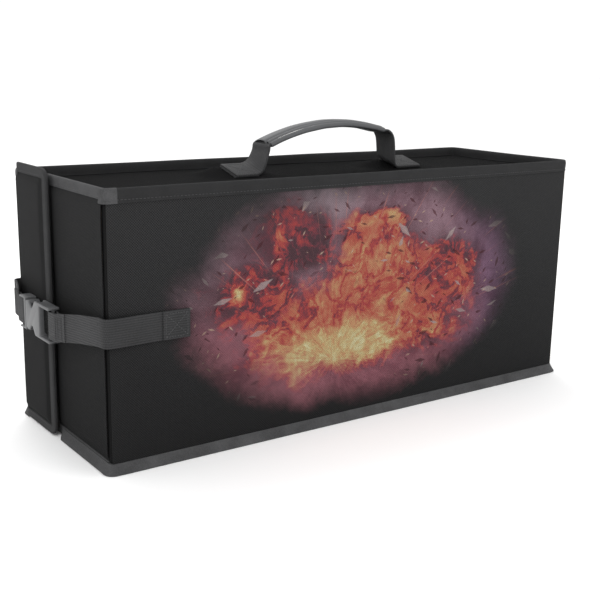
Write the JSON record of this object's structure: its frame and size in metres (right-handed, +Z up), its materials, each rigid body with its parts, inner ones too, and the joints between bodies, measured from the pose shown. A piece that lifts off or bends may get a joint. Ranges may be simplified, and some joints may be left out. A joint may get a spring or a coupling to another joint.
{
  "type": "lipo safe bag",
  "caption": "Long box-shaped fire-resistant battery bag with bound edges, flaps that open at one end, a carry handle on top and a buckled webbing closure strap.",
  "frame": {"origin": "middle of the underside of the bottom panel, which rests on the ground", "axes": "+X along the length towards the closed end (the flaps are at -X), +Y towards the back wall, +Z up"},
  "size_m": [0.5767, 0.1922, 0.2855],
  "materials": {
    "shell_fabric": "black woven polyester, matt",
    "binding_tape": "dark grey ribbed binding tape",
    "webbing": "dark grey woven webbing",
    "stiffener": "stiffening board",
    "lining_cloth": "silver grey glass-fibre cloth",
    "buckle_plastic": "moulded mid-grey acetal",
    "grip_skin": "semi-gloss grey synthetic leather",
    "grip_foam": "closed-cell foam"
  },
  "bodies": {
    "box": {"front_panel": "shell_fabric", "back_panel": "shell_fabric", "end_panel": "shell_fabric", "top_panel": "shell_fabric", "bottom_panel": "shell_fabric", "front_board": "stiffener", "back_board": "stiffener", "end_board": "stiffener", "top_board": "stiffener", "bottom_board": "stiffener", "front_lining": "lining_cloth", "back_lining": "lining_cloth", "end_lining": "lining_cloth", "top_lining": "lining_cloth", "bottom_lining": "lining_cloth", "top_binding": "binding_tape", "bottom_binding": "binding_tape", "mouth_top_binding": "binding_tape", "mouth_bottom_binding": "binding_tape", "front_fold": "shell_fabric", "back_fold": "shell_fabric", "left_handle_patch": "webbing", "right_handle_patch": "webbing", "left_handle_leg": "webbing", "right_handle_leg": "webbing", "front_strap_sewn": "webbing", "front_strap_fold": "webbing", "back_strap_sewn": "webbing", "back_strap_fold": "webbing"},
    "outer_flap": {"outer_flap_panel": "shell_fabric", "outer_flap_board": "stiffener", "outer_flap_lining": "lining_cloth", "outer_flap_binding": "binding_tape"},
    "inner_flap": {"inner_flap_panel": "shell_fabric", "inner_flap_board": "stiffener", "inner_flap_lining": "lining_cloth", "inner_flap_binding": "binding_tape"},
    "front_strap": {"front_strap_end": "webbing", "buckle_socket": "buckle_plastic"},
    "back_strap": {"back_strap_end": "webbing", "buckle_plug": "buckle_plastic"},
    "upper_prong": {"upper_prong": "buckle_plastic"},
    "lower_prong": {"lower_prong": "buckle_plastic"},
    "handle": {"grip_cover": "grip_skin", "grip_web": "webbing", "grip_core": "grip_foam"}
  },
  "joints": [
    {"name": "outer_flap_fold", "type": "hinge", "parent": "box", "child": "outer_flap", "pos_m": [-0.275, 0.09, 0.13], "axis": [0, 0, -1], "range_deg": [0, 160], "deforming": ["back_fold"]},
    {"name": "inner_flap_fold", "type": "hinge", "parent": "box", "child": "inner_flap", "pos_m": [-0.275, -0.09, 0.13], "axis": [0, 0, 1], "range_deg": [0, 70], "deforming": ["front_fold"]},
    {"name": "back_strap_fold", "type": "hinge", "parent": "box", "child": "back_strap", "pos_m": [-0.275, 0.09, 0.115], "axis": [0, 0, -1], "range_deg": [0, 160], "deforming": ["back_strap_fold"]},
    {"name": "front_strap_fold", "type": "hinge", "parent": "box", "child": "front_strap", "pos_m": [-0.275, -0.09, 0.115], "axis": [0, 0, 1], "range_deg": [0, 160], "deforming": ["front_strap_fold"]},
    {"name": "upper_prong_squeeze", "type": "hinge", "parent": "back_strap", "child": "upper_prong", "pos_m": [-0.2901, 0.0405, 0.1205], "axis": [1, 0, 0], "range_deg": [0, 6], "stiffness_Nm_per_rad": 0.3, "deforming": ["upper_prong"]},
    {"name": "lower_prong_squeeze", "type": "hinge", "parent": "back_strap", "child": "lower_prong", "pos_m": [-0.2901, 0.0405, 0.1095], "axis": [-1, 0, 0], "range_deg": [0, 6], "stiffness_Nm_per_rad": 0.3, "deforming": ["lower_prong"]},
    {"name": "handle_tilt", "type": "hinge", "parent": "box", "child": "handle", "pos_m": [0.01, 0, 0.2355], "axis": [1, 0, 0], "range_deg": [-50, 50], "deforming": ["left_handle_leg", "right_handle_leg"]}
  ],
  "couplings": [
    {"joint": "inner_flap_fold", "follows": "outer_flap_fold", "ratio": 0.42},
    {"joint": "back_strap_fold", "follows": "outer_flap_fold", "ratio": 1},
    {"joint": "front_strap_fold", "follows": "outer_flap_fold", "ratio": 1}
  ]
}
